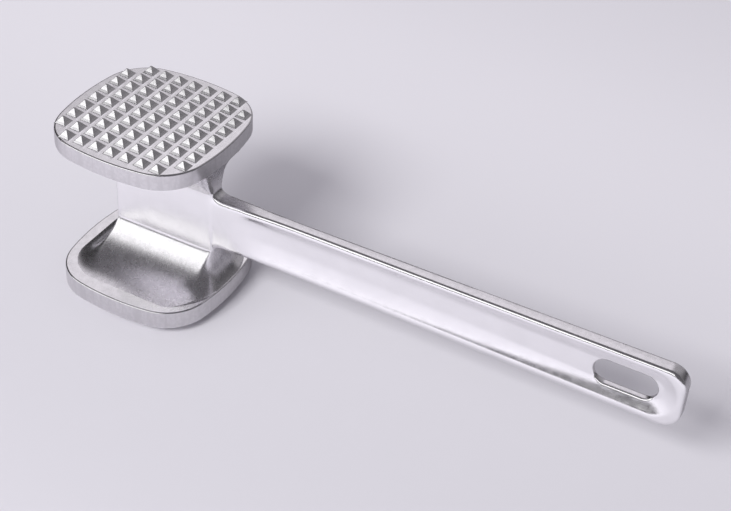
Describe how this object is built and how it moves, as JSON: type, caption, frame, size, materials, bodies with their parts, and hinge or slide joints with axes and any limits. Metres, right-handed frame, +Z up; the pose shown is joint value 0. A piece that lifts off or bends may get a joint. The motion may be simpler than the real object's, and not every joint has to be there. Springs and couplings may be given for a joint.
{
  "type": "meat mallet",
  "caption": "Cast aluminium meat mallet: square head with a fine and a coarse toothed face on a waisted core, and a dished flat handle with a hanging slot.",
  "frame": {"origin": "centre of the lower, coarse striking face, at its tooth tips", "axes": "+Z up the head's axis from the coarse face to the fine face, +X along the handle to its tip"},
  "size_m": [0.2097, 0.0554, 0.0655],
  "materials": {
    "cast_aluminium": "polished die casting, slightly rough in the coves and on the rims"
  },
  "bodies": {
    "root": {"fine_toothed_plate": "cast_aluminium", "coarse_toothed_plate": "cast_aluminium", "waist": "cast_aluminium", "handle": "cast_aluminium"}
  },
  "joints": []
}
